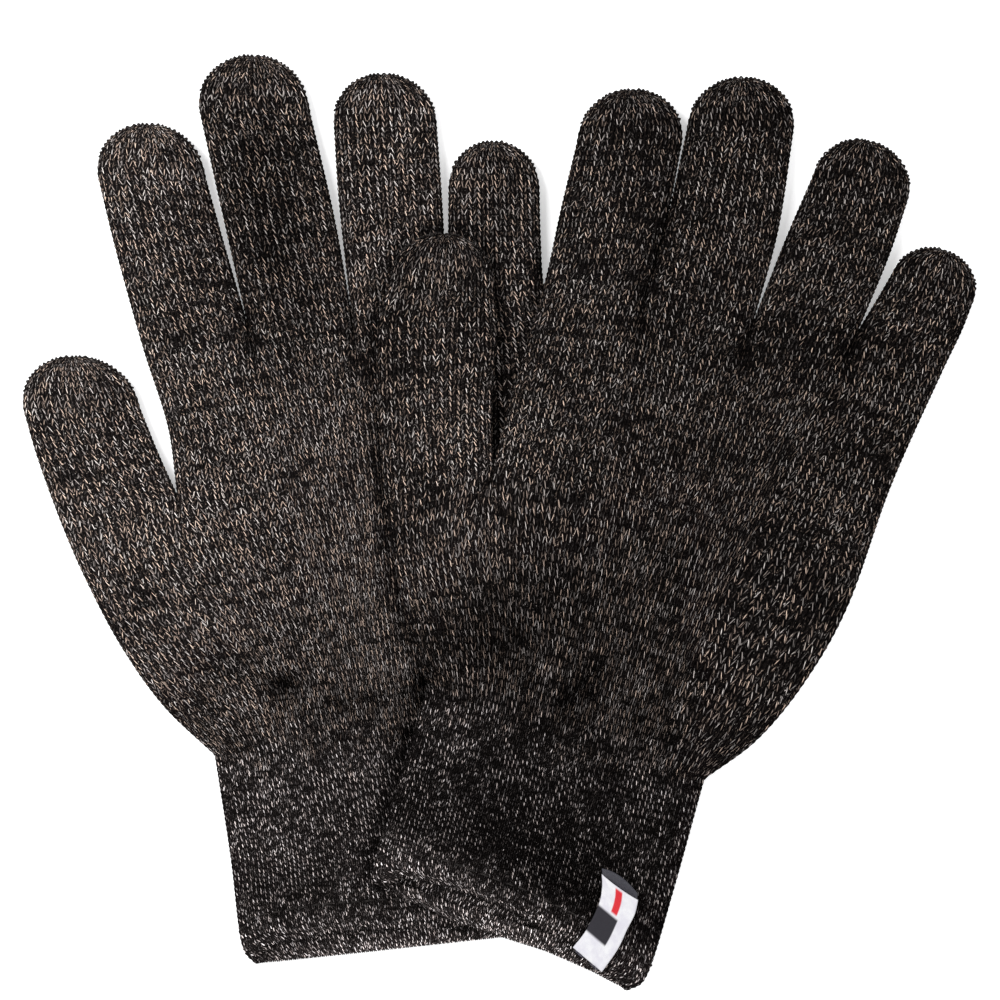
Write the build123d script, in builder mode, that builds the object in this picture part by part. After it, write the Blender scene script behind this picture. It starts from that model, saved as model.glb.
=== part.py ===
from build123d import *
import os
from math import atan2, cos, degrees, hypot, radians, sin, tan

# A pair of knitted stretch gloves, the upper one lying partly across the lower one.
# Millimetres. +Z is up off the table, +Y towards the fingertips.

os.makedirs("parts", exist_ok=True)

# ---- Driving dimensions ----------------------------------------------------------------
THICKNESS = 7.4  # a hand or digit lying flat: front layer, air, back layer
FABRIC = 1.2  # one layer of knit
EDGE_ROUND = 2.3  # where the front layer turns round into the back layer
MOUTH_IN = 1.9  # a tube's open end is this much narrower at each side than the tube
HINGE_GAP = 0.4  # between a digit and what it bends on
END_TOLERANCE = 0.05  # an edge this near an open end's line belongs to that end
SIDE_GAP = 0.5  # taken off each end of a digit's root, so neighbours never rub
TILT = 4.35  # degrees: the upper glove slopes down to the table on its little-finger side
UPPER_EDGE_X = 118.9  # where that slope meets the table

CUFF_CORNER = 5.5  # rounded corners of the wrist opening
CUFF_KNIT = 0.9  # one layer of the cuff, outside its elastic
ELASTIC_THICK = 0.3
ELASTIC_WIDE = 0.5
ELASTIC_ROWS = 9
ELASTIC_MARGIN = 2.0  # from the hem to the first row, and from the last row to the hand
HEM_DEPTH = 7.5  # the turned hem at the wrist opening
HEM_PROUD = 0.3  # the hem stands this far out of the cuff
HEM_ROUND = 1.0
THREAD = 0.6  # thread that links the hem and draws each fingertip shut
STITCH_LONG = 2.4
STITCH_PITCH = 3.4
TIP_THREAD_ARC = 110  # degrees of a fingertip's round end

LABEL_LONG = 19.4
LABEL_WIDE = 10.9
LABEL_LEAF = 0.3  # one leaf of the folded ribbon
LABEL_CLEAR = 0.3  # it lies this far off the hem
LABEL_TURN = -24.8  # degrees the label leans off the glove plane's Y axis
LABEL_ROOT = (22.2, -107.4)  # middle of its sewn edge
BACK_LEAF_SHOWS = 2.3  # the back leaf is this much longer than the front one

# ---- The frame: both gloves are shifted so that the pair is centred on the origin --------
SHIFT_X = -0.98
SHIFT_Y = -0.41
slope_height = UPPER_EDGE_X * tan(radians(TILT))
lower_plane = Plane((SHIFT_X, SHIFT_Y, 0))
upper_plane = Plane(
    origin=(SHIFT_X, SHIFT_Y, slope_height),
    x_dir=(cos(radians(TILT)), 0, -sin(radians(TILT))),
    z_dir=(sin(radians(TILT)), 0, cos(radians(TILT))),
)

# ---- Outlines, each in its glove's own plane ---------------------------------------------
# A digit is (left end of its hinge line, right end, middle of its tip, width at the tip).
# A side is a point on an arc, and where there is a second one, the arc's end, from which a
# second arc runs on smoothly.
LOWER = {
    "wrist": ((-71.5, -58.1), (1.4, -50.2)),
    "cuff_end": ((-65.2, -110.6), (7.6, -102.4)),
    "thumb_side": [(-93.2, -31.5)],
    "little_side": [(17.6, 20.0), (14.9, -20.3)],
    "digits": {
        "thumb": ((-110.2, -1.4), (-80.0, 7.1), (-107.4, 41.6), 28.4),
        "index_finger": ((-89.2, 44.1), (-63.5, 49.5), (-87.4, 99.6), 25.8),
        "middle_finger": ((-63.5, 49.5), (-37.5, 53.6), (-59.8, 116.4), 26.2),
        "ring_finger": ((-37.5, 53.6), (-13.3, 55.0), (-28.4, 111.9), 25.2),
        "little_finger": ((-13.3, 55.0), (11.6, 55.0), (-1.2, 95.1), 22.8),
    },
    # The upper glove lies on these two as far as this Y, so they bend further out.
    "bends_at": {"ring_finger": 75.0, "little_finger": 75.0},
}
UPPER = {
    "wrist": ((-18.0, -40.6), (51.2, -64.1)),
    "cuff_end": ((-32.2, -89.4), (36.8, -118.2)),
    "thumb_side": [(-24.8, -16.0)],
    "little_side": [(101.0, 8.9), (88.0, -20.9)],
    "digits": {
        "thumb": ((-28.4, 3.6), (-1.6, 12.4), (-14.4, 70.8), 28.4),
        "index_finger": ((10.7, 60.2), (36.8, 56.1), (31.4, 108.2), 25.6),
        "middle_finger": ((36.8, 56.1), (63.9, 50.7), (61.2, 111.2), 26.0),
        "ring_finger": ((63.9, 50.7), (89.7, 45.4), (88.8, 95.2), 25.0),
        "little_finger": ((89.7, 45.4), (110.8, 37.4), (112.4, 68.4), 22.2),
    },
    "bends_at": {},
}
FINGERS = ("index_finger", "middle_finger", "ring_finger", "little_finger")
ORDER = ("thumb",) + FINGERS


# ---- Plane geometry helpers --------------------------------------------------------------
def between(p, q, share):
    """The point that share of the way from p to q."""
    return (p[0] + (q[0] - p[0]) * share, p[1] + (q[1] - p[1]) * share)


def towards(p, q, distance):
    """The point that distance from p towards q."""
    return between(p, q, distance / hypot(q[0] - p[0], q[1] - p[1]))


def shoulders(digit):
    """The two points where a digit's straight sides meet its round tip."""
    left, right, tip, width = digit
    middle = between(left, right, 0.5)
    length = hypot(tip[0] - middle[0], tip[1] - middle[1])
    along = ((tip[0] - middle[0]) / length, (tip[1] - middle[1]) / length)
    base = (tip[0] - along[0] * width / 2, tip[1] - along[1] * width / 2)
    side = (along[1] * width / 2, -along[0] * width / 2)
    return (base[0] - side[0], base[1] - side[1]), (base[0] + side[0], base[1] + side[1])


def hinge_line(glove, name):
    """Where a digit bends: its root, or further out where the other glove covers the root."""
    digit = glove["digits"][name]
    left, right = digit[:2]
    if name not in glove["bends_at"]:
        return left, right
    out_left, out_right = shoulders(digit)
    reach = glove["bends_at"][name]
    return (
        between(left, out_left, (reach - left[1]) / (out_left[1] - left[1])),
        between(right, out_right, (reach - right[1]) / (out_right[1] - right[1])),
    )


def trimmed(left, right):
    """A root line with SIDE_GAP off each end."""
    return towards(left, right, SIDE_GAP), towards(right, left, SIDE_GAP)


def strip(left, right, reach):
    """A sketch rectangle along a line, short of its ends, that opens a tube there."""
    middle = between(left, right, 0.5)
    turn = degrees(atan2(right[1] - left[1], right[0] - left[0]))
    wide = hypot(right[0] - left[0], right[1] - left[1]) - 2 * MOUTH_IN
    with Locations(Location((middle[0], middle[1], 0), (0, 0, turn))):
        Rectangle(wide, 2 * reach)


# ---- Outlines as closed sketches' edges ---------------------------------------------------
def digit_edges(digit, root):
    """A digit from its root line to its round tip."""
    left, right = root
    out_left, out_right = shoulders(digit)
    Polyline(out_left, left, right, out_right)
    ThreePointArc(out_right, digit[2], out_left)


def stub_edges(root, end):
    """The stretch of a digit between its root and the line where it bends."""
    Polyline(root[0], root[1], end[1], end[0], close=True)


def side_edges(start, side, end):
    """A hand's side from start to end: one arc, or two that meet smoothly."""
    first = ThreePointArc(start, side[0], side[1] if len(side) > 1 else end)
    if len(side) > 1:
        TangentArc(side[1], end, tangent=first % 1)


def hand_edges(glove):
    """The hand from the wrist to the roots of its digits."""
    digits = glove["digits"]
    thumb = digits["thumb"]
    last = digits["little_finger"]
    side_edges(glove["wrist"][0], glove["thumb_side"], thumb[0])
    Polyline(thumb[0], thumb[1], *[digits[name][0] for name in FINGERS], last[1])
    side_edges(last[1], glove["little_side"], glove["wrist"][1])
    Line(glove["wrist"][1], glove["wrist"][0])


def across_cuff(glove, above, grow=0.0):
    """Both ends of a line across the cuff, that far above its opening, grown sideways."""
    share = above / cuff_length(glove)
    left = between(glove["cuff_end"][0], glove["wrist"][0], share)
    right = between(glove["cuff_end"][1], glove["wrist"][1], share)
    return towards(left, right, -grow), towards(right, left, -grow)


def cuff_length(glove):
    """From the middle of the wrist to the middle of the opening."""
    start = between(*glove["wrist"], 0.5)
    end = between(*glove["cuff_end"], 0.5)
    return hypot(end[0] - start[0], end[1] - start[1])


def cuff_edges(glove, low, high, grow=0.0):
    """A band across the cuff, from low to high above its opening."""
    low_left, low_right = across_cuff(glove, low, grow)
    high_left, high_right = across_cuff(glove, high, grow)
    Polyline(low_left, low_right, high_right, high_left, close=True)


def hem_edges(glove, low, grow, corner):
    """The hem's outline, rounded at the two corners of the opening."""
    low_left, low_right = across_cuff(glove, low, grow)
    high_left, high_right = across_cuff(glove, HEM_DEPTH, grow)
    FilletPolyline(high_left, low_left, low_right, high_right, radius=corner)
    Line(high_right, high_left)


def long_edges(part, plane, open_lines):
    """A slab's top and bottom edges, without those on its open ends."""
    kept = []
    for edge in part.edges():
        middle = plane.to_local_coords(edge @ 0.5)
        rise = plane.to_local_coords(edge @ 1).Z - plane.to_local_coords(edge @ 0).Z
        if abs(rise) > END_TOLERANCE:
            continue
        if all(off_line((middle.X, middle.Y), line) > END_TOLERANCE for line in open_lines):
            kept.append(edge)
    return kept


def off_line(point, line):
    """How far a point is from the segment between two points."""
    (ax, ay), (bx, by) = line
    share = ((point[0] - ax) * (bx - ax) + (point[1] - ay) * (by - ay)) / (
        (bx - ax) ** 2 + (by - ay) ** 2
    )
    share = min(1.0, max(0.0, share))
    near = between(line[0], line[1], share)
    return hypot(point[0] - near[0], point[1] - near[1])


def save(part, name):
    """Labels a finished piece and writes it."""
    part.label = name
    export_step(part, f"parts/{name}.step")


# ---- The pieces of one glove ---------------------------------------------------------------
def moved_root(glove, name):
    """A digit's root line, trimmed at its ends and clear of what it bends on."""
    left, right = trimmed(*hinge_line(glove, name))
    tip = glove["digits"][name][2]
    middle = between(left, right, 0.5)
    step = towards(middle, tip, HINGE_GAP)
    move = (step[0] - middle[0], step[1] - middle[1])
    return (left[0] + move[0], left[1] + move[1]), (right[0] + move[0], right[1] + move[1])


def make_digit(side, glove, plane, name):
    """One digit: a flattened tube, open at its root and round at its tip."""
    digit = glove["digits"][name]
    root = moved_root(glove, name)
    with BuildPart() as tube:
        with BuildSketch(plane):
            with BuildLine():
                digit_edges(digit, root)
            make_face()
        extrude(amount=THICKNESS)
        fillet(long_edges(tube.part, plane, [root]), EDGE_ROUND)
        with BuildSketch(plane.offset(FABRIC)):
            with BuildLine():
                digit_edges(digit, root)
            make_face()
            offset(amount=-FABRIC, mode=Mode.REPLACE)
            strip(*root, 2 * FABRIC)
        extrude(amount=THICKNESS - 2 * FABRIC, mode=Mode.SUBTRACT)
    save(tube.part, f"{side}_{name}")


def make_stub(side, glove, plane, name):
    """The covered stretch of a digit, which stays with the hand."""
    digit = glove["digits"][name]
    root = trimmed(digit[0], digit[1])
    end = trimmed(*hinge_line(glove, name))
    with BuildPart() as tube:
        with BuildSketch(plane):
            with BuildLine():
                stub_edges(root, end)
            make_face()
        extrude(amount=THICKNESS)
        fillet(long_edges(tube.part, plane, [root, end]), EDGE_ROUND)
        with BuildSketch(plane.offset(FABRIC)):
            with BuildLine():
                stub_edges(root, end)
            make_face()
            offset(amount=-FABRIC, mode=Mode.REPLACE)
            strip(*root, 2 * FABRIC)
            strip(*end, 2 * FABRIC)
        extrude(amount=THICKNESS - 2 * FABRIC, mode=Mode.SUBTRACT)
    save(tube.part, f"{side}_{name}_base")


def make_tip_thread(side, glove, plane, name):
    """The thread that draws a digit's last loops shut, along the rim of its tip."""
    tip, width = glove["digits"][name][2:]
    out_left, out_right = shoulders(glove["digits"][name])
    centre = between(out_left, out_right, 0.5)
    middle_angle = degrees(atan2(tip[1] - centre[1], tip[0] - centre[0]))
    start = middle_angle - TIP_THREAD_ARC / 2
    with BuildPart() as thread:
        with BuildSketch(plane.offset(THICKNESS / 2 - THREAD / 2)):
            with BuildLine():
                inner = CenterArc(centre, width / 2, start, TIP_THREAD_ARC)
                outer = CenterArc(centre, width / 2 + THREAD, start, TIP_THREAD_ARC)
                Line(inner @ 0, outer @ 0)
                Line(inner @ 1, outer @ 1)
            make_face()
        extrude(amount=THREAD)
    save(thread.part, f"{side}_{name}_tip_thread")


def make_hand(side, glove, plane):
    """The hand: one flattened tube from the wrist, open to each digit."""
    roots = [glove["digits"][name][:2] for name in ORDER]
    ends = roots + [glove["wrist"]]
    with BuildPart() as hand:
        with BuildSketch(plane):
            with BuildLine():
                hand_edges(glove)
            make_face()
        extrude(amount=THICKNESS)
        fillet(long_edges(hand.part, plane, ends), EDGE_ROUND)
        with BuildSketch(plane.offset(FABRIC)):
            with BuildLine():
                hand_edges(glove)
            make_face()
            offset(amount=-FABRIC, mode=Mode.REPLACE)
            for line in ends:
                strip(*line, 2 * FABRIC)
        extrude(amount=THICKNESS - 2 * FABRIC, mode=Mode.SUBTRACT)
    save(hand.part, f"{side}_hand")


def make_cuff(side, glove, plane):
    """The stretch cuff between the hand and its hem."""
    ends = [glove["wrist"], across_cuff(glove, HEM_DEPTH)]
    with BuildPart() as cuff:
        with BuildSketch(plane):
            with BuildLine():
                cuff_edges(glove, HEM_DEPTH, cuff_length(glove))
            make_face()
        extrude(amount=THICKNESS)
        fillet(long_edges(cuff.part, plane, ends), EDGE_ROUND)
        with BuildSketch(plane.offset(CUFF_KNIT)):
            with BuildLine():
                cuff_edges(glove, 0, 2 * cuff_length(glove), grow=-CUFF_KNIT)
            make_face()
        extrude(amount=THICKNESS - 2 * CUFF_KNIT, mode=Mode.SUBTRACT)
    save(cuff.part, f"{side}_cuff")


def make_elastic(side, glove, plane):
    """Elastic yarns laid round the inside of the cuff, one flattened ring to a row."""
    length = cuff_length(glove)
    pitch = (length - HEM_DEPTH - 2 * ELASTIC_MARGIN) / ELASTIC_ROWS
    inner = CUFF_KNIT + ELASTIC_THICK
    with BuildPart() as elastic:
        for row in range(ELASTIC_ROWS):
            low = HEM_DEPTH + ELASTIC_MARGIN + pitch * row
            with BuildSketch(plane.offset(CUFF_KNIT)):
                with BuildLine():
                    cuff_edges(glove, low, low + ELASTIC_WIDE, grow=-CUFF_KNIT)
                make_face()
            extrude(amount=THICKNESS - 2 * CUFF_KNIT)
        with BuildSketch(plane.offset(inner)):
            with BuildLine():
                cuff_edges(glove, 0, 2 * length, grow=-inner)
            make_face()
        extrude(amount=THICKNESS - 2 * inner, mode=Mode.SUBTRACT)
    save(elastic.part, f"{side}_cuff_elastic")


def make_hem(side, glove, plane):
    """The turned hem at the wrist opening, a little prouder than the cuff."""
    top = across_cuff(glove, HEM_DEPTH, HEM_PROUD)
    mouth = across_cuff(glove, 0, HEM_PROUD - CUFF_CORNER)
    with BuildPart() as hem:
        with BuildSketch(plane):
            with BuildLine():
                hem_edges(glove, 0, HEM_PROUD, CUFF_CORNER)
            make_face()
        extrude(amount=THICKNESS + HEM_PROUD)
        fillet(long_edges(hem.part, plane, [top, mouth]), HEM_ROUND)
        with BuildSketch(plane.offset(FABRIC)):
            with BuildLine():
                hem_edges(glove, FABRIC, -FABRIC, CUFF_CORNER - FABRIC)
            make_face()
            strip(*across_cuff(glove, HEM_DEPTH, -FABRIC + MOUTH_IN), 2 * FABRIC)
            strip(*mouth, 2 * FABRIC)
        extrude(amount=THICKNESS - 2 * FABRIC, mode=Mode.SUBTRACT)
    save(hem.part, f"{side}_hem")


def make_hem_thread(side, glove, plane):
    """The linking stitches that hold the hem's turned edge, a row along its top."""
    left, right = across_cuff(glove, HEM_DEPTH + THREAD, -2 * EDGE_ROUND)
    wide = hypot(right[0] - left[0], right[1] - left[1])
    turn = degrees(atan2(right[1] - left[1], right[0] - left[0]))
    centre = between(left, right, 0.5)
    with BuildPart() as thread:
        with BuildSketch(plane.offset(THICKNESS)):
            with Locations(Location((*centre, 0), (0, 0, turn))):
                with GridLocations(STITCH_PITCH, 0, int(wide / STITCH_PITCH), 1):
                    SlotOverall(STITCH_LONG, THREAD)
        extrude(amount=HEM_PROUD)
    save(thread.part, f"{side}_hem_thread")


# ---- The woven label on the upper glove's cuff ----------------------------------------------
def label_spot(along, across=0.0):
    """A point on the label, that far from its sewn edge and from its middle line."""
    turn = radians(LABEL_TURN)
    return (
        LABEL_ROOT[0] - sin(turn) * along + cos(turn) * across,
        LABEL_ROOT[1] + cos(turn) * along + sin(turn) * across,
    )


def make_label_leaf(name, low, length):
    """One leaf of the folded ribbon, lying on the cuff, free at its upper end."""
    with BuildPart() as leaf:
        with BuildSketch(upper_plane.offset(low)):
            with Locations(Location((*label_spot(length / 2), 0), (0, 0, LABEL_TURN))):
                Rectangle(LABEL_WIDE, length)
        extrude(amount=LABEL_LEAF)
    save(leaf.part, name)


def make_label_stitches():
    """Two stitches that hold the label's sewn edge to the hem."""
    with BuildPart() as stitches:
        with BuildSketch(upper_plane.offset(THICKNESS + HEM_PROUD)):
            for across in (-LABEL_WIDE / 4, LABEL_WIDE / 4):
                spot = label_spot(-THREAD, across)
                with Locations(Location((*spot, 0), (0, 0, LABEL_TURN))):
                    SlotOverall(STITCH_LONG, THREAD)
        extrude(amount=2 * THREAD)
    save(stitches.part, "label_stitches")


# ---- Both gloves -------------------------------------------------------------------------------
for side, glove, plane in (("lower", LOWER, lower_plane), ("upper", UPPER, upper_plane)):
    make_hand(side, glove, plane)
    make_cuff(side, glove, plane)
    make_elastic(side, glove, plane)
    make_hem(side, glove, plane)
    make_hem_thread(side, glove, plane)
    for name in ORDER:
        make_digit(side, glove, plane, name)
        make_tip_thread(side, glove, plane, name)
    for name in glove["bends_at"]:
        make_stub(side, glove, plane, name)

label_low = THICKNESS + HEM_PROUD + LABEL_CLEAR
make_label_leaf("label_back_leaf", label_low, LABEL_LONG + BACK_LEAF_SHOWS)
make_label_leaf("label_front_leaf", label_low + LABEL_LEAF, LABEL_LONG)
make_label_stitches()
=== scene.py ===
import math

import bpy
import numpy as np
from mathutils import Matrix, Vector


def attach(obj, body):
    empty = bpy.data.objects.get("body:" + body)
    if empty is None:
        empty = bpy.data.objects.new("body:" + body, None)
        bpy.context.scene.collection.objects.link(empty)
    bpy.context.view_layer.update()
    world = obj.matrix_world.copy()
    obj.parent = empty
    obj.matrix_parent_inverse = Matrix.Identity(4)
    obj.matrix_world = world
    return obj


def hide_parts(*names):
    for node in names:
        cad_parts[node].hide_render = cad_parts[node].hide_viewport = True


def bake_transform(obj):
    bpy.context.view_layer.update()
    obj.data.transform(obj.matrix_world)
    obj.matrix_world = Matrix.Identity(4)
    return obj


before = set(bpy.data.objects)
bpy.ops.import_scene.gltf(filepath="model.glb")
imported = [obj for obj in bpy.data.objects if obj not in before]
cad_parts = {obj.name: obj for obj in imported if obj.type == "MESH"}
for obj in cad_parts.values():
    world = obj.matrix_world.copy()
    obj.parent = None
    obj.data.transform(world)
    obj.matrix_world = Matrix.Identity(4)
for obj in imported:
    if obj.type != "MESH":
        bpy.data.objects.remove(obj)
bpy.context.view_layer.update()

# ---- Driving dimensions, in millimetres unless said otherwise ----
MM = 0.001
ORIGIN = np.array([-0.98, -0.41])  # where the outlines' own origin lies in the shared frame
# Stitches across the front of each digit, from the thumb over.
WALES = {"thumb": 15, "index_finger": 14, "middle_finger": 14, "ring_finger": 13, "little_finger": 12}
ORDER = tuple(WALES)
TOTAL_WALES = sum(WALES.values())
COURSE = 1.34  # one row of stitches, measured along the hand
THUMB_COURSE = 1.5  # the same along the thumb's outer edge, where the rows fan out
CUFF_COURSES = 0.96  # how many courses the cuff has against the hand, for the same length
COLS = 4  # mesh columns to a stitch: between wales, leg, middle, leg
ROWS = 2  # mesh rows to a stitch

HALF_THICK = 3.0  # half of a digit or hand lying flat
CUFF_HALF_THICK = 2.7
EDGE_WIDE = 5.2  # how far in from its edge a flattened tube still curves
CREASE_REACH = 17.0  # how far the crease runs down from between two fingers
THUMB_CREASE_REACH = 13.0
THUMB_PULL = 20.0  # how much the wales beside the thumb's crotch keep on up the hand
CAP_ANGLE = 81.0  # degrees of a fingertip's quarter ellipse that are knitted
CAP_COURSES = 1.12  # how many courses a fingertip has against a straight stretch
TIP_ROUND = 5.0  # how far from its end a fingertip thins out

HEM_COURSES = 6  # the turned hem at the wrist opening, in courses
HEM_ROLL = 0.6  # radius at which the knit turns in at the opening
HEM_PROUD = 0.45  # how far the hem stands out from the cuff
HEM_GROOVE = 0.7  # how deep the groove above the hem is, against that
MOUTH_REACH = 24.0  # how far up the cuff its opening stands agape
DRAWN_SHARE = 0.75  # the share of the cuff's length that is drawn up with its lip
CLEAR_OF_TABLE = 0.35  # keeps the stitches' crests off the table
FOLD_SEED = {"lower": 11, "upper": 23}
WALE_WIDE = 1.9  # the width of a wale
FOLD_HIGH, FOLD_PITCH = 1.25, 13.0  # height and spacing of the gathers beside the cuff
GATHER_UP, GATHER_DOWN = 11.0, 7.0  # how far the gathers run up the hand and down the cuff
SOFT_WAVES = ((46.0, 0.42), (19.0, 0.16))  # spacing and height of the cloth's soft waves
BULGE, BULGE_REACH = 0.30, 22.0  # how much prouder the hand stands just above the cuff
CUFF_FADE = 16.0  # the length over which the cuff's look gives way to the hand's
# bounds of the painted light and shade
PAINTED_LIGHT_LIMITS = (0.08, 2.4)

SHEAR = np.array([0.42, 0.20, 0.0, 0.20])  # how far up each column of a stitch stands, in courses
RELIEF = np.array([[-0.24, 0.17, -0.06, 0.17], [-0.26, 0.05, -0.13, 0.05]])  # by row and column
RIM_RELIEF = np.array([0.15, -0.12])  # along the outline, where the stitches turn over

FIELD_HALF = 140.0  # half the side of the square over which the drape is worked out
DRAPE_CELL = 2.0
DRAPE_SAG = 0.0035  # how much a cell sinks below its neighbours in each round
DRAPE_GAP = 0.35  # between the two gloves
DRAPE_ROUNDS = 2500
SHADE_ROUNDS = 10
SHADE_CELL = 1.0
SHADE = 0.30  # how much darker the lower glove is along the upper one's edge

ELASTIC_ROWS = 9
ELASTIC_WIDE, ELASTIC_THICK = 0.5, 0.3
ELASTIC_DEPTH = 0.85  # how deep under the stitches' crests the elastic lies
THREAD = 0.48  # thickness of the sewing thread
DASH_LOW, DASH_ARCH = -0.25, 0.55  # how low a hem stitch starts, and how far it arches up
DASH_COLS, DASH_PERIOD = 9, 12  # a hem stitch and the step to the next, in mesh columns
LOOP_PITCH, LOOP_RADIUS = 1.2, 0.31  # the loops along a fingertip's rim
LOOP_STEP = 0.13  # between the points of a loop's line
LOOP_UNEVEN = 0.30  # how much the loops differ in radius
LOOP_SEED = {"lower": 31, "upper": 57}
TUBE_SIDES = 6

LABEL_LEFT = [(18.0, -105.1), (21.3, -101.0), (24.5, -94.8), (25.3, -90.6), (25.2, -87.3)]
LABEL_RIGHT = [(25.2, -111.4), (29.2, -105.9), (31.4, -101.6), (33.4, -97.6), (34.2, -93.7)]
LABEL_THICK = 0.24
LABEL_RIPPLE = 0.28
LABEL_ROWS, LABEL_COLS = 40, 24
LABEL_FREE = 0.55  # the share of its length from which the label is not held down
BACK_LEAF_SHOWS = 2.3  # how far the back leaf reaches beyond the front one
BACK_HIGH, FRONT_HIGH = 0.40, 0.75  # how high the leaves' tops lie above the cuff
BACK_CURL, FRONT_CURL = 0.3, 1.5  # how far their free ends stand up
LABEL_THREAD = 0.34
LABEL_STITCH_REACH = 1.3  # half the length of a stitch at the label's sewn edge

VIEW_CENTRE = (-0.98, 4.97)  # what the camera looks straight down on
VIEW_WIDE = 250.0
LENS, SENSOR = 100.0, 36.0


# ---- Outlines ----
# Every edge is a smooth curve through a few points, from the wrist or a crotch to the shoulder
# of a fingertip. "root" is the number of the point where a digit's long edge leaves the hand,
# "cap" is how far its tip reaches beyond its last points, and "lean" is how far that tip stands
# to the right.
LOWER = {
    "side": "lower",
    "cuff_left": [(-61.6, -110.9), (-64.9, -105.6), (-67.6, -84), (-71.5, -58.6)],
    "cuff_right": [(6, -103.6), (7.6, -99), (5.6, -77), (1.6, -50.6)],
    "thumb": {
        "left": [(-71.5, -58.6), (-84.5, -46.2), (-94.9, -31.6), (-103.3, -15.9), (-109.7, -1.4),
                 (-115.9, 15.5), (-119.5, 27.8)],
        "right": [(-81, 6.6), (-85.9, 17.5), (-90.4, 28.6)], "root": 4, "cap": 13.2, "lean": 0,
    },
    "index_finger": {
        "left": [(-81, 6.6), (-83.4, 24), (-89.6, 43.6), (-96.4, 68), (-100.9, 86.6)],
        "right": [(-63.5, 50.1), (-68.6, 67.5), (-73.8, 86)], "root": 2, "cap": 13.3, "lean": 0.6,
    },
    "middle_finger": {
        "left": [(-63.5, 50.1), (-69.4, 76), (-75.5, 103.4)],
        "right": [(-37.5, 53.6), (-41.7, 77), (-47.6, 102.4)], "cap": 13.9, "lean": 1.2,
    },
    "ring_finger": {
        "left": [(-37.5, 53.6), (-40.4, 80), (-41.7, 99.6)],
        "right": [(-13.3, 57.4), (-14.5, 80), (-15.9, 99.6)], "cap": 12.5, "lean": -0.2,
    },
    "little_finger": {
        "left": [(-13.3, 57.4), (-13, 72), (-12.9, 83.2)],
        "right": [(1.6, -50.6), (8, -42), (14.4, -22), (17.2, 3.4), (15.8, 32), (11.2, 57.4),
                  (10.2, 71), (9.9, 83.2)], "root": 5, "cap": 11.9, "lean": -0.2,
    },
    # The opening's front lip: how far it is drawn up, in millimetres, along the width. Then how
    # high it stands agape, and how far the whole opening is drawn up.
    "lip": ([0, 0.07, 0.3, 0.6, 0.9, 1], [0, 5, 6.4, 5.4, 3.4, 0]),
    "mouth": ([0, 0.2, 0.5, 0.8, 1], [0, 0.9, 1.3, 0.9, 0]),
    "opening": ([0, 1], [0, 0]),
    # Hollows in the cloth: centre, half-widths, turn in degrees, depth.
    "dents": [
        (-54, -41, 6.5, 2.4, 24, 3.6), (-62, -36, 9, 3, 38, 1.6),
        (-30, -45, 10, 2, -4, 2.4), (-70, -52, 5, 3, 30, 1.2),
        (-20, -39.5, 6, 1.8, 8, 2.2), (-45, -52, 9, 2.4, 0, 1.4)],
    # Painted light and shade: how brightly the knit is painted all over, then round places painted lighter or
    # darker, with painted shade in the dents, gathers and crotch creases and painted light along the
    # opening's lip.
    "painted_light_and_shade": (1.26, [
        (-104, 10, 22, 30, 0, 0.28), (-85, -20, 34, 24, 30, 0.22),
        (-90, 85, 12, 22, 15, 0.25), (-57, 76, 13, 34, 12, -0.62),
        (-2, 76, 12, 22, 0, -0.45), (-10, 50, 16, 20, 0, 0.20),
        (-54.3, -41.1, 5, 4, 25, -0.75), (-71.5, -35.6, 5, 4, 20, -0.35),
        (-18.6, -40.3, 5, 4, 0, -0.9), (-64.5, -55, 6, 4, 0, -0.3),
        (-62.6, 47, 2.2, 9, 14, -0.45), (-37, 49, 2.2, 9, 6, -0.45),
        (-62, -46, 5, 3, 0, 0.35), (-23, -35, 5, 3, 0, 0.5),
        (-40, -46, 16, 5, 0, -0.42), (-20, -56, 12, 14, -8, -0.30),
        (-60, -72, 10, 16, 0, 0.18), (-25, -88, 18, 10, 0, 0.15),
        (-30, -106, 48, 6.5, 4, 1.00), (-52, -92, 14, 6, 3, -0.25)]),
}
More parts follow.
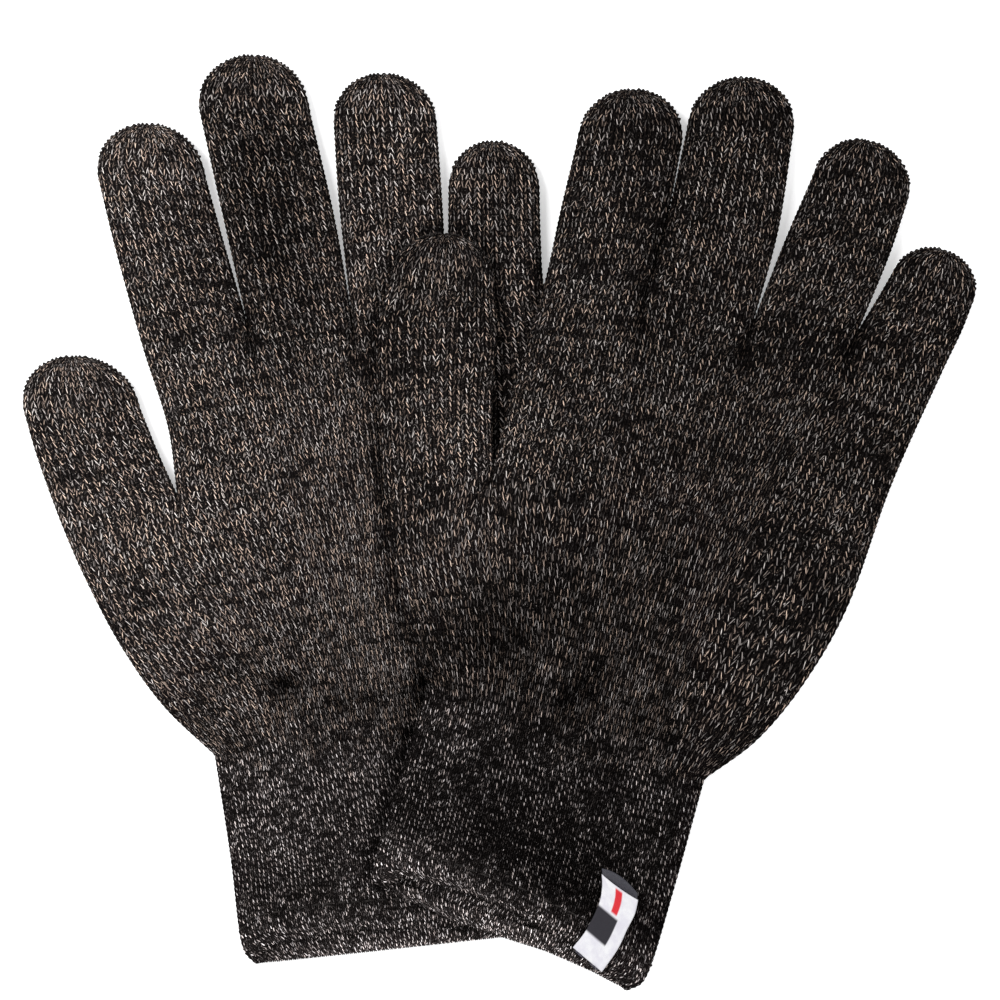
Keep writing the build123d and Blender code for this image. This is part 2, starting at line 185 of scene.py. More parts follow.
UPPER = {
    "side": "upper",
    "cuff_left": [(-28.6, -91.6), (-31.6, -86.8), (-25.8, -66), (-18, -41.2)],
    "cuff_right": [(32, -117.6), (37, -113.4), (43.6, -92), (51.2, -64.6)],
    "thumb": {
        "left": [(-18, -41.2), (-22.4, -27.6), (-26, -12), (-28.4, 3.6), (-30.2, 26),
                 (-30.6, 47), (-27.6, 59.4)],
        "right": [(-1.6, 13.6), (-1.9, 30), (-0.6, 46), (-1.4, 57.4)],
        "root": 3, "cap": 13, "lean": 0,
    },
    "index_finger": {
        "left": [(-1.6, 13.6), (3.6, 34), (10.9, 58.6), (15.2, 78), (19.2, 94.6)],
        "right": [(37, 58.6), (41.9, 76), (45.7, 95.4)], "root": 2, "cap": 13.1, "lean": -0.7,
    },
    "middle_finger": {
        "left": [(37, 58.6), (42.4, 78), (46.9, 98.4)],
        "right": [(63.6, 50.2), (69.8, 73), (73.7, 98.4)], "cap": 12.8, "lean": -0.5,
    },
    "ring_finger": {
        "left": [(63.6, 50.2), (71.5, 70.4), (78.3, 86.2)],
        "right": [(89.8, 47.8), (97.4, 66), (102.3, 80.6)], "cap": 12.1, "lean": -1.3,
    },
    "little_finger": {
        "left": [(89.8, 47.8), (94.9, 56.2), (98.6, 62.6)],
        "right": [(51.2, -64.6), (64.9, -54.4), (77.1, -39.4), (87.5, -20.7), (98.1, 8.9), (110.6, 36.8),
                  (115.5, 47), (118.5, 54.6)], "root": 5, "cap": 9.7, "lean": 0,
    },
    "lip": ([0, 0.06, 0.25, 0.5, 0.75, 0.93, 1], [0, 6, 8.6, 8.8, 6.4, 3, 0]),
    "mouth": ([0, 0.08, 0.3, 0.6, 0.8, 0.93, 1], [0.6, 2.4, 3.6, 4.6, 4.9, 3, 0]),
    "opening": ([0, 0.3, 0.45, 0.65, 0.85, 1], [0, 0, 1, 1.7, 1.2, 0]),
    "dents": [
        (0, -36.5, 13, 3.4, -50, 3.4), (21.6, -41, 9, 3.2, 45, 3.2),
        (-7, -22, 8, 13, 30, 1.6), (-18, -40, 3.4, 4.4, 0, 2.2),
        (44, -54, 10, 3, -28, 1.6), (1, 4, 4, 12, 8, 1.2),
        (35, -46, 8, 3, 40, 2), (7, -35, 11, 2.4, -43, -1)],
    # Painted light and shade over the upper glove, as for the lower one.
    "painted_light_and_shade": (0.79, [
        (-16, 26, 16, 40, 0, 0.36), (5, 16, 20, 26, 0, 0.20),
        (22, 72, 14, 26, -10, 0.18), (-14, -12, 14, 14, 0, 0.20),
        (80, 30, 26, 40, -25, -0.08), (-1, -25, 14, 10, 20, -0.22),
        (21.6, -40.5, 9, 4, 45, -0.42), (16.4, -45.5, 5, 4, 0, -0.24),
        (4.6, -30, 6, 3.4, -75, -0.34), (7.8, -38, 4, 4.5, 0, -0.26),
        (-4, -31, 5, 5, 0, -0.24), (-18, -40, 4, 4, 0, -0.40),
        (37.7, -51.6, 8, 4, -30, -0.30), (9, -35, 10, 1.6, -43, 0.30),
        (41.5, 76, 2.4, 22, -13, -0.30), (35.6, 49, 2.4, 9, 5, -0.30),
        (62, 44.5, 2.2, 8, -20, -0.24), (87, 41, 2.4, 10, -20, -0.28),
        (14, -78, 40, 14, -22, -0.14), (-14, -54, 9, 9, 0, 0.34),
        (20, -92, 26, 8, -24, -0.32), (-24, -88, 12, 8, -25, 0.85),
        (2, -99, 30, 8, -25, 1.25), (10, -111, 24, 5, -24, 1),
        (34, -112, 8, 6, 0, 0.4)]),
}




# ---- Curves and profiles ----
def smooth(t):
    """0 to 1, level at both ends."""
    t = np.clip(t, 0.0, 1.0)
    return t * t * (3 - 2 * t)


def unit(vector):
    """The direction of one flat vector."""
    return vector / np.hypot(*vector)


def units(vectors):
    """The directions of many vectors."""
    return vectors / np.linalg.norm(vectors, axis=-1, keepdims=True)


def dense(points, start, end, steps=40):
    """A Catmull-Rom curve through points, from point number start to point number end."""
    p = np.array(points, float)
    p = np.vstack([2 * p[0] - p[1], p, 2 * p[-1] - p[-2]])
    t = np.linspace(0, 1, steps, endpoint=False)[:, None]
    stretches = []
    for k in range(start, end):
        a, b, c, d = p[k : k + 4]
        square, cube = 2 * a - 5 * b + 4 * c - d, 3 * b - a - 3 * c + d
        stretches.append(0.5 * (2 * b + (c - a) * t + square * t**2 + cube * t**3))
    return np.vstack(stretches + [p[end + 1][None]])


def spaced(line, count):
    """count + 1 points at equal distances along a dense line."""
    run = np.r_[0, np.cumsum(np.hypot(*np.diff(line, axis=0).T))]
    at = np.linspace(0, run[-1], count + 1)
    return np.c_[np.interp(at, run, line[:, 0]), np.interp(at, run, line[:, 1])]


def length(line):
    """The length of a dense line."""
    return np.hypot(*np.diff(line, axis=0).T).sum()


def courses(line, course):
    """How many courses of that size a line holds."""
    return max(4, round(length(line) / course))


def hermite(a, b, leave, arrive, steps=160):
    """A smooth curve from a to b with the directions in which it leaves and arrives."""
    t = np.linspace(0, 1, steps)[:, None]
    size = np.hypot(*(b - a))
    leave, arrive = unit(leave) * size, unit(arrive) * size
    from_a, from_leave = 2 * t**3 - 3 * t**2 + 1, t**3 - 2 * t**2 + t
    from_b, from_arrive = -2 * t**3 + 3 * t**2, t**3 - t**2
    return from_a * a + from_leave * leave + from_b * b + from_arrive * arrive


def dip(distance, depth, wide):
    """How much of the full height is missing that far from an edge or crease."""
    reach = wide * (0.45 + 0.55 * depth)
    t = np.clip(distance / reach, 0, 1)
    return depth * (1 - np.sqrt(np.clip(1 - (1 - t) ** 2, 0, 1)))


def row_section(left, right, left_depth, right_depth, count, height):
    """Points across one digit's stretch of a row: (x, y, height above the middle), evenly
    spaced along the curved section."""
    wide = np.hypot(*(right - left))
    x = np.linspace(0, 1, 97)
    edge = min(EDGE_WIDE, 0.5 * wide)
    lost = np.maximum(dip(x * wide, left_depth, edge), dip((1 - x) * wide, right_depth, edge))
    z = height * (1 - lost)
    run = np.r_[0, np.cumsum(np.hypot(np.diff(x * wide), np.diff(z)))]
    at = np.interp(np.linspace(0, run[-1], count + 1), run, x)
    return np.c_[left + at[:, None] * (right - left), np.interp(at, x, z)]


def waves(x, y, scale, seed, count=15):
    """Smooth seeded noise, about -1 to 1: a sum of plane waves in many directions."""
    rng = np.random.default_rng(seed)
    total = np.zeros(np.broadcast(x, y).shape)
    for _ in range(count):
        angle, phase = rng.uniform(0, math.tau), rng.uniform(0, math.tau)
        pitch = scale * rng.uniform(0.7, 1.6)
        total += np.sin((x * math.cos(angle) + y * math.sin(angle)) * math.tau / pitch + phase)
    return total / count**0.5 / 1.2


def blob(x, y, cx, cy, rx, ry, turn=0.0):
    """A soft bump of height 1 round a point."""
    c, s = math.cos(math.radians(turn)), math.sin(math.radians(turn))
    dx, dy = x - cx, y - cy
    return np.exp(-(((dx * c + dy * s) / rx) ** 2) - ((-dx * s + dy * c) / ry) ** 2)


def neighbours(grid):
    """The mean of each cell's four neighbours."""
    beside = np.roll(grid, 1, 0) + np.roll(grid, -1, 0)
    return 0.25 * (beside + np.roll(grid, 1, 1) + np.roll(grid, -1, 1))


def corners(grid):
    """A grid's values at the four corners of each of its squares."""
    return np.stack([grid[:-1, :-1], grid[:-1, 1:], grid[1:, 1:], grid[1:, :-1]], -1)


# ---- The rows of a glove's strips, one strip to a digit ----
def cuff_shares(glove):
    """Where the digits' wales stand across the cuff, as shares of its width."""
    left, right = (np.array(glove[k][-1]) for k in ("cuff_left", "cuff_right"))
    row = row_section(left, right, 1, 1, TOTAL_WALES, CUFF_HALF_THICK)
    share = np.hypot(*(row[:, :2] - left).T) / np.hypot(*(right - left))
    return share[np.cumsum([0] + [WALES[name] for name in ORDER])]


def crease(line, crotch, reach=CREASE_REACH):
    """How deep the crease under a crotch is, at each point of a line."""
    return (1 - smooth(np.hypot(*(line - crotch).T) / reach)) ** 0.8


def palm_guides(glove, cuff, up):
    """Lines up the palm to each crotch between fingers, and the outer edge beside the little
    finger. Each is in two parts, below and above the row through the thumb's crotch."""
    lines = []
    for k in (1, 2, 3):
        crotch = np.array(glove[ORDER[k]]["right"][0])
        ahead = np.array(glove[ORDER[k]]["right"][1]) + glove[ORDER[k + 1]]["left"][1] - 2 * crotch
        lines.append(hermite(cuff[k + 1][-1], crotch, up, ahead))
    little = glove["little_finger"]
    lines.append(dense(little["right"], 0, little["root"]))
    cuts = [int(np.argmin(np.abs((line - glove["thumb"]["right"][0]) @ up))) for line in lines]
    return [(line[: cut + 1], line[cut:]) for line, cut in zip(lines, cuts)]


def palm_lines(glove, cuff, up):
    """The strips' edges over the palm, left to right, and how deep each is pinched in: up to the
    row through the thumb's crotch, and from there to the fingers' roots."""
    thumb, index = glove["thumb"], glove["index_finger"]
    crotches = [np.array(glove[name]["right"][0]) for name in ORDER[:-1]]
    guides = palm_guides(glove, cuff, up)
    outer = dense(thumb["left"], 0, thumb["root"])
    beside_thumb = np.array(index["left"][1]) - crotches[0] + up * THUMB_PULL
    first = hermite(cuff[1][-1], crotches[0], up, beside_thumb)
    count = courses(outer, THUMB_COURSE) * ROWS
    low = [spaced(line, count) for line in [outer, first] + [below for below, _ in guides]]
    low_depth = [np.ones(count + 1), crease(low[1], crotches[0], THUMB_CREASE_REACH)]
    low_depth += [crease(low[k + 1], crotches[k]) for k in (1, 2, 3)] + [np.ones(count + 1)]
    index_side = dense(index["left"], 0, index["root"])
    count = courses(guides[1][1], COURSE) * ROWS
    high = [spaced(line, count) for line in [index_side] + [over for _, over in guides]]
    high_depth = [np.ones(count + 1)] + [crease(high[k], crotches[k]) for k in (1, 2, 3)]
    return low, low_depth, high, high_depth + [np.ones(count + 1)]


def rows_between(k, edges, depths, height):
    """The rows of a stretch between its edges k and k + 1, without the last row, with which the
    next stretch begins."""
    ends = zip(edges[k][:-1], edges[k + 1][:-1], depths[k], depths[k + 1])
    return [(*end, height) for end in ends]


def tip_rows(spec, left, right):
    """Rows over a fingertip: they shorten along a quarter ellipse, and thin out at its end."""
    middle, half = 0.5 * (left[-1] + right[-1]), 0.5 * (right[-1] - left[-1])
    heading = unit((left[-1] - left[-6]) + (right[-1] - right[-6]))
    ahead = unit(unit(np.array([-half[1], half[0]])) + heading)
    count = round(spec["cap"] * CAP_COURSES / COURSE) * ROWS
    reach = spec["cap"] / math.sin(math.radians(CAP_ANGLE))
    rows = []
    for k in range(1, count + 1):
        angle = math.radians(CAP_ANGLE) * k / count
        step = math.sin(angle) * reach
        narrow = math.cos(angle) ** 0.97
        left_over = (spec["cap"] - step) / TIP_ROUND
        thin = math.sqrt(max(0.0, 1 - max(0.0, 1 - left_over) ** 2))
        centre = middle + ahead * step + unit(half) * spec["lean"] * (step / reach) ** 2
        rows.append((centre - half * narrow, centre + half * narrow, 1.0, 1.0, HALF_THICK * thin))
    return rows


def digit_rows(name, spec):
    """The rows of a digit beyond the hand."""
    left_start = spec["root"] if name in ("thumb", "index_finger") else 0
    right_start = spec["root"] if name == "little_finger" else 0
    left = dense(spec["left"], left_start, len(spec["left"]) - 1)
    right = dense(spec["right"], right_start, len(spec["right"]) - 1)
    count = round(0.5 * (length(left) + length(right)) / COURSE) * ROWS
    left, right = spaced(left, count), spaced(right, count)
    rows = [(a, b, 1.0, 1.0, HALF_THICK) for a, b in zip(left, right)]
    return rows + tip_rows(spec, left, right)


def glove_strips(glove):
    """For each digit, the rows of its wales from the wrist opening to its tip: a row's two ends,
    how deep each is pinched in, and how high the row stands. Then the cuff's number of courses
    and the direction up the hand."""
    left, right = dense(glove["cuff_left"], 0, 3), dense(glove["cuff_right"], 0, 3)
    cuff_courses = round(0.5 * (length(left) + length(right)) / COURSE * CUFF_COURSES)
    left, right = spaced(left, cuff_courses * ROWS), spaced(right, cuff_courses * ROWS)
    up = unit(left[-1] - left[0] + right[-1] - right[0])
    cuff = [left + share * (right - left) for share in cuff_shares(glove)]
    cuff_depth = [np.full(len(left), depth) for depth in (1.0, 0.0, 0.0, 0.0, 0.0, 1.0)]
    low, low_depth, high, high_depth = palm_lines(glove, cuff, up)
    strips = []
    for k, name in enumerate(ORDER):
        rows = rows_between(k, cuff, cuff_depth, CUFF_HALF_THICK)
        wrist = len(rows)
        rows += rows_between(k, low, low_depth, HALF_THICK)
        if name != "thumb":
            rows += rows_between(k - 1, high, high_depth, HALF_THICK)
        base = len(rows)
        rows += digit_rows(name, glove[name])
        strips.append({"name": name, "rows": rows, "wrist": wrist, "base": base})
    return strips, cuff_courses, up


def strip_faces(strips):
    """Both faces of every strip as grids of points, with their wale and course numbers. rim is 1
    on the glove's outline."""
    first_wale = 0
    faces = []
    for strip in strips:
        count = WALES[strip["name"]] * COLS
        grid = np.array([row_section(*row[:4], count, row[4]) for row in strip["rows"]])
        u, v = np.meshgrid(first_wale + np.arange(count + 1) / COLS, np.arange(len(grid)) / ROWS)
        rim = np.zeros_like(u)
        rim[:, 0] = [row[2] >= 1 for row in strip["rows"]]
        rim[:, -1] = [row[3] >= 1 for row in strip["rows"]]
        front = {"name": strip["name"], "wrist": strip["wrist"], "base": strip["base"], "v": v, "rim": rim}
        back = dict(front, grid=grid * [1, 1, -1], u=2 * TOTAL_WALES - u, face=-1)
        faces += [dict(front, grid=grid, u=u, face=1), back]
        first_wale += WALES[strip["name"]]
    return faces


# ---- How the glove lies ----
def cloth_lift(glove, x, y, wale, above):
    """How far the cloth rises or sinks: folds beside the cuff, soft waves and dents."""
    seed = FOLD_SEED[glove["side"]]
    fold = waves(wale * WALE_WIDE, above * 0.28, FOLD_PITCH, seed) * FOLD_HIGH
    gather = np.where(above > 0, np.exp(-above / GATHER_UP), np.exp(above / GATHER_DOWN) * 0.55)
    soft = sum(waves(x, y, pitch, seed + k) * high for k, (pitch, high) in enumerate(SOFT_WAVES, 1))
    dents = sum(deep * blob(x, y, *place) for *place, deep in glove["dents"])
    return fold * gather + soft - dents


def paint_light_and_shade(glove, x, y, full):
    """Painted light and shade on the strand: the lighter and darker places, with painted shade towards the
    glove's edges, where the cloth turns away from the light.
    """
    base, places = glove["painted_light_and_shade"]
    painted_light_and_shade = base + sum(more * blob(x, y, *place) for *place, more in places)
    # Painted shade: down to 0.58 of the brightness where the flattened tube turns over at its edges.
    return np.clip(painted_light_and_shade * (0.58 + 0.42 * smooth((full - 0.05) / 0.60)), *PAINTED_LIGHT_LIMITS)


def settle(face, cuff_courses, up, glove, support):
    """Lays a face of the glove on what is under it, with its gathers, dents and lip."""
    x, y, h = np.moveaxis(face["grid"], -1, 0)
    v, front = face["v"], face["face"] > 0
    wale = face["u"] if front else 2 * TOTAL_WALES - face["u"]
    above = (v - cuff_courses) * COURSE  # distance from the cuff, up the hand
    full = np.abs(h) / HALF_THICK
    # The hand stands prouder than the cuff just above it.
    bulge = smooth(above / 5.0) * np.exp(-np.maximum(above, 0) / BULGE_REACH)
    h = np.where(h > 0, h * (1 + BULGE * bulge), h)
    lift = full * cloth_lift(glove, x, y, wale, above)
    share = wale / TOTAL_WALES
    drawn = np.interp(share, *glove["opening"])
    if front:
        # The front lip is drawn up further, and shows the back layer's hem below it.
        drawn = np.maximum(drawn, np.interp(share, *glove["lip"]))
        h = h + full * np.interp(share, *glove["mouth"]) * np.exp(-v * COURSE / MOUTH_REACH)
    drawn = drawn * smooth((cuff_courses * DRAWN_SHARE - v) / (cuff_courses * DRAWN_SHARE))
    x, y = x + up[0] * drawn, y + up[1] * drawn
    hem = smooth((HEM_COURSES - v) / 0.7) - HEM_GROOVE * np.exp(-(((v - HEM_COURSES) / 0.5) ** 2))
    h = h + full * HEM_PROUD * hem * (1.0 if front else -0.3)
    if front:
        h = h + np.maximum(lift, -0.85 * np.maximum(h, 0))
    face["place"] = np.stack([x, y, h + support(x, y) + HALF_THICK + CLEAR_OF_TABLE], -1)
    # How brightly this face's knit is painted: its painted light and shade.
    face["painted_light_and_shade"] = paint_light_and_shade(glove, x, y, full)
    # 1 on the cuff and 0 on the hand, with a ragged change between them.
    ragged = 0.35 * waves(x, y, 9.0, FOLD_SEED[glove["side"]] + 3)
    face["rib"] = smooth(0.5 - above / CUFF_FADE + ragged)


def flat_support(x, y):
    """The table."""
    return np.zeros_like(x)


def field_cells(points, cell, offset):
    """The numbers of the cells of the field in which points lie."""
    last = int(2 * FIELD_HALF / cell) - 1 + offset
    return np.clip((points[:, :2] + FIELD_HALF) / cell + 0.5 * offset, 0, last).astype(int).T


def drape_over(knitted):
    """The height of cloth laid over a knitted glove and the table beside it."""
    count = int(2 * FIELD_HALF / DRAPE_CELL) + 1
    top = np.zeros((count, count))
    points = knitted["points"]
    np.maximum.at(top, tuple(field_cells(points, DRAPE_CELL, 1)), points[:, 2] + DRAPE_GAP)
    field = top.copy()
    for _ in range(DRAPE_ROUNDS):
        field = np.maximum(top, neighbours(field) - DRAPE_SAG)
    for _ in range(4):
        field = 0.5 * field + 0.5 * neighbours(field)
    field = np.maximum(field, top - 0.2)

    def height(x, y):
        """The field's height between its points."""
        fx = np.clip((x + ORIGIN[0] + FIELD_HALF) / DRAPE_CELL, 0, count - 1.001)
        fy = np.clip((y + ORIGIN[1] + FIELD_HALF) / DRAPE_CELL, 0, count - 1.001)
        ix, iy = fx.astype(int), fy.astype(int)
        tx, ty = fx - ix, fy - iy
        near = field[ix, iy] * (1 - tx) + field[ix + 1, iy] * tx
        far = field[ix, iy + 1] * (1 - tx) + field[ix + 1, iy + 1] * tx
        return near * (1 - ty) + far * ty

    return height


def shade_under(lower, upper):
    """Dims the lower glove along the upper one's edge, where little light comes in."""
    count = int(2 * FIELD_HALF / SHADE_CELL)
    cover = np.zeros((count, count))
    cover[tuple(field_cells(upper["points"], SHADE_CELL, 0))] = 1.0
    for _ in range(SHADE_ROUNDS):
        cover = neighbours(cover)
    share = cover[tuple(field_cells(lower["points"], SHADE_CELL, 0))]
    lower["painted_light_and_shade"] = lower["painted_light_and_shade"] * (1 - SHADE * smooth(4 * share * (1 - share)))


# ---- Welding the strips and raising the stitches ----
def weld(faces):
    """One number for every place where strips meet, from the strips' own unsettled rows."""
    flat = [np.concatenate([f["grid"], f["v"][..., None]], -1).reshape(-1, 4) for f in faces]
    keys = np.round(np.concatenate(flat) * 1000).astype(np.int64)
    _, ids = np.unique(keys, axis=0, return_inverse=True)
    ids = ids.ravel()
    start = 0
    for f in faces:
        f["ids"] = ids[start : start + f["v"].size].reshape(f["v"].shape)
        start += f["v"].size
    return ids.max() + 1


def summed(ids, values, count):
    """The sum of the values that belong to each of count numbers."""
    return np.stack([np.bincount(ids, column, count) for column in values.T], -1)


def average(faces, key, count):
    """A field given on every strip, averaged where strips share a point."""
    total, seen = 0, 0
    for f in faces:
        ids = f["ids"].ravel()
        total = total + summed(ids, f[key].reshape(-1, 3), count)
        seen = seen + np.bincount(ids, minlength=count)
    return total / seen[:, None]


def quads(face):
    """Corner numbers of a strip's squares, turned so that they face outwards."""
    q = corners(face["ids"])
    return q if face["face"] > 0 else q[..., ::-1]


def normals(points, faces):
    """The surface's direction outwards at each point."""
    squares = np.concatenate([quads(f).reshape(-1, 4) for f in faces])
    a, b, c, d = (points[squares[:, k]] for k in range(4))
    square_normal = np.cross(c - a, d - b)
    total = sum(summed(squares[:, k], square_normal, len(points)) for k in range(4))
    return total / np.maximum(np.linalg.norm(total, axis=1), 1e-12)[:, None]


def turned_rows(p, out):
    """The rows that turn in at the wrist opening and lie inside the hem, from a strip's points
    and their normals."""
    pitch = COURSE / ROWS
    down = units(p[0] - p[1])
    rows = []
    for k in range(1, HEM_COURSES * ROWS + 1):
        angle = k * pitch / HEM_ROLL
        if angle < math.pi:
            rows.append(p[0] + (down * math.sin(angle) - out[0] * (1 - math.cos(angle))) * HEM_ROLL)
        else:
            row = int(round((k * pitch - math.pi * HEM_ROLL) / pitch))
            rows.append(p[row] - out[row] * 2 * HEM_ROLL)
    return rows


def turn_hem(faces, points):
    """Adds the rows that turn in at the wrist opening and lie inside the hem."""
    out = normals(points, faces)
    rows = HEM_COURSES * ROWS
    lip = np.unique(np.concatenate([f["ids"][0] for f in faces]))
    added = np.zeros((rows, len(lip), 3))
    for f in faces:
        at = np.searchsorted(lip, f["ids"][0])
        added[:, at] = turned_rows(points[f["ids"]], out[f["ids"]])
        # The turned-in rows keep the painted light and shade of the opening's edge: painted shade at half of
        # it inside the front layer, and painted light at 1.3 times it inside the back layer, which shows
        # below the front lip.
        inside = {
            "ids": len(points) + np.arange(rows)[::-1, None] * len(lip) + at,
            "u": f["u"][:1], "v": -np.arange(rows, 0, -1)[:, None] / ROWS, "rim": 0.0,
            "painted_light_and_shade": f["painted_light_and_shade"][:1] * (0.5 if f["face"] > 0 else 1.3), "rib": f["rib"][:1],
        }
        for key, values in inside.items():
            f[key] = np.vstack([np.broadcast_to(values, (rows, len(at))), f[key]])
        f["wrist"], f["base"] = f["wrist"] + rows, f["base"] + rows
    return np.vstack([points, added.reshape(-1, 3)])


def shear_stitches(faces, points):
    """Moves the columns of each stitch up its wale, so that its two legs make a V."""
    for f in faces:
        p = points[f["ids"]]
        step = np.zeros_like(p)
        step[:-1] = p[1:] - p[:-1]
        column = np.arange(p.shape[1]) % COLS
        f["shear"] = step * (SHEAR[column] * ROWS)[None, :, None]
    return points + average(faces, "shear", len(points))


def raise_stitches(faces, points):
    """Raises each stitch's legs above the gaps between them."""
    for f in faces:
        row, column = (np.arange(size) % period for size, period in zip(f["ids"].shape, (ROWS, COLS)))
        raised = np.where(f["rim"] > 0, RIM_RELIEF[row][:, None], RELIEF[row][:, column])
        f["raise"] = np.repeat(raised[..., None], 3, -1)
    return points + normals(points, faces) * average(faces, "raise", len(points))


def knit(glove, support):
    """A whole glove as one welded surface, laid out, with its hem turned and stitches raised."""
    strips, cuff_courses, up = glove_strips(glove)
    faces = strip_faces(strips)
    count = weld(faces)
    for f in faces:
        settle(f, cuff_courses, up, glove, support)
    points = turn_hem(faces, average(faces, "place", count))
    points = raise_stitches(faces, shear_stitches(faces, points))
    points[:, :2] += ORIGIN
    for f in faces:
        f["shades"] = np.stack([f["painted_light_and_shade"], f["rib"], f["rib"]], -1)
    painted_light_and_shade, rib, _ = average(faces, "shades", len(points)).T
    return {"faces": faces, "points": points, "normals": normals(points, faces), "painted_light_and_shade": painted_light_and_shade, "rib": rib}


# ---- Meshes ----
def placed(name, data):
    """A new object in the scene."""
    obj = bpy.data.objects.new(name, data)
    bpy.context.scene.collection.objects.link(obj)
    return obj


def mesh_object(name, points, squares, uvs=None, custom=None):
    """A smooth-shaded mesh of four-sided faces, from points in millimetres."""
    mesh = bpy.data.meshes.new(name)
    mesh.vertices.add(len(points))
    mesh.vertices.foreach_set("co", np.ascontiguousarray(points * MM, np.float32).ravel())
    mesh.loops.add(squares.size)
    mesh.loops.foreach_set("vertex_index", squares.astype(np.int32).ravel())
    mesh.polygons.add(len(squares))
    mesh.polygons.foreach_set("loop_start", np.arange(0, squares.size, 4, dtype=np.int32))
    if uvs is not None:
        layer = mesh.uv_layers.new(name="stitch")
        layer.uv.foreach_set("vector", np.ascontiguousarray(uvs, np.float32).ravel())
    mesh.update(calc_edges=True)
    mesh.polygons.foreach_set("use_smooth", np.ones(len(squares), bool))
    if custom is not None:
        mesh.normals_split_custom_set_from_vertices(np.asarray(custom, np.float32))
    return placed(name, mesh)


def piece(name, knitted, parts):
    """A mesh object from some rows of some strips: parts is a list of (face, first row, last row)."""
    squares, uvs = [], []
    for face, low, high in parts:
        uv = np.stack([corners(face["u"]), corners(face["v"])], -1)[low:high]
        if face["face"] < 0:
            uv = uv[..., ::-1, :]
        squares.append(quads(face)[low:high].reshape(-1, 4))
        uvs.append(uv.reshape(-1, 4, 2))
    used, local = np.unique(np.concatenate(squares), return_inverse=True)
    local = local.reshape(-1, 4)
    # A square with two corners in one place is left out.
    whole = (local != np.roll(local, -1, 1)).all(1)
    uvs = np.concatenate(uvs)[whole]
    obj = mesh_object(name, knitted["points"][used], local[whole], uvs, knitted["normals"][used])
    for field in ("painted_light_and_shade", "rib"):
        layer = obj.data.attributes.new(field, "FLOAT", "POINT")
        layer.data.foreach_set("value", knitted[field][used].astype(np.float32))
    return obj


def tube_squares(count, closed):
    """Corner numbers of a tube's squares along count rings of points, with its ends if open."""
    row = np.arange(count if closed else count - 1)[:, None]
    next_row = (row + 1) % count
    col = np.arange(TUBE_SIDES)[None]
    next_col = (col + 1) % TUBE_SIDES
    ring_corners = [row * TUBE_SIDES + col, next_row * TUBE_SIDES + col]
    ring_corners += [next_row * TUBE_SIDES + next_col, row * TUBE_SIDES + next_col]
    squares = np.stack(ring_corners, -1).reshape(-1, 4)
    if closed:
        return squares
    first_end = np.array([[0, 1, 2, 3], [0, 3, 4, 5]])
    return np.vstack([squares, first_end, first_end[:, ::-1] + (count - 1) * TUBE_SIDES])


def swept(name, paths, wide, thick, closed=False):
    """Yarns of an oval section along paths, each given as points and directions outwards."""
    turn = np.arange(TUBE_SIDES) / TUBE_SIDES * math.tau
    points, squares, start = [], [], 0
    for path, out in paths:
        ahead = np.roll(path, -1, 0) - np.roll(path, 1, 0) if closed else np.gradient(path, axis=0)
        side = units(np.cross(ahead, out))
        up = units(np.cross(side, ahead))
        across = side[:, None] * np.cos(turn)[None, :, None] * wide / 2
        above = up[:, None] * np.sin(turn)[None, :, None] * thick / 2
        points.append((path[:, None] + across + above).reshape(-1, 3))
        squares.append(start + tube_squares(len(path), closed))
        start += len(path) * TUBE_SIDES
    return mesh_object(name, np.concatenate(points), np.concatenate(squares))


# ---- Yarns and threads ----
def ring(knitted, row, span=COLS):
    """The points once round the glove on one of the cuff's rows, with the stitches' waves
    levelled, and their directions outwards."""
    front = [f["ids"][row, :-1] for f in knitted["faces"] if f["face"] > 0]
    back = [f["ids"][row, ::-1][:-1] for f in knitted["faces"][::-1] if f["face"] < 0]
    ids = np.concatenate(front + back)
    points, out = (
        sum(np.roll(knitted[key][ids], k - span // 2, 0) for k in range(span)) / span
        for key in ("points", "normals")
    )
    return points, units(out)


def cuff_elastic(knitted, side, hem_top, wrist):
    """Rings of elastic yarn inside the cuff, one under every few courses."""
    paths = []
    for row in np.linspace(hem_top + 3, wrist - 3, ELASTIC_ROWS).round().astype(int):
        points, out = (values[::COLS] for values in ring(knitted, row))
        paths.append((points - out * ELASTIC_DEPTH, out))
    return swept(f"{side}_cuff_elastic_yarn", paths, ELASTIC_WIDE, ELASTIC_THICK, closed=True)


def hem_thread(knitted, side, hem_top):
    """The linking thread: a line of short stitches in the groove above the hem."""
    points, out = ring(knitted, hem_top)
    arch = DASH_LOW + DASH_ARCH * np.sin(np.linspace(0, math.pi, DASH_COLS))[:, None]
    paths = []
    for start in range(0, len(points) - DASH_COLS, DASH_PERIOD):
        at = slice(start, start + DASH_COLS)
        paths.append((points[at] + out[at] * arch, out[at]))
    return swept(f"{side}_hem_stitches", paths, THREAD, THREAD)


def tip_rim(knitted, glove, name):
    """The line round a fingertip's rim, evenly divided, and the distance along it."""
    ids = next(f["ids"] for f in knitted["faces"] if f["name"] == name and f["face"] > 0)
    first = len(ids) - int(glove[name]["cap"] / COURSE) * ROWS
    rim = knitted["points"][np.r_[ids[first:, 0], ids[-1, 1:-1], ids[first:, -1][::-1]]]
    for _ in range(3):
        rim[1:-1] = 0.25 * rim[:-2] + 0.5 * rim[1:-1] + 0.25 * rim[2:]
    run = np.r_[0, np.cumsum(np.linalg.norm(np.diff(rim, axis=0), axis=1))]
    at = np.linspace(0, run[-1], int(run[-1] / LOOP_STEP))
    return np.stack([np.interp(at, run, rim[:, axis]) for axis in range(3)], -1), at


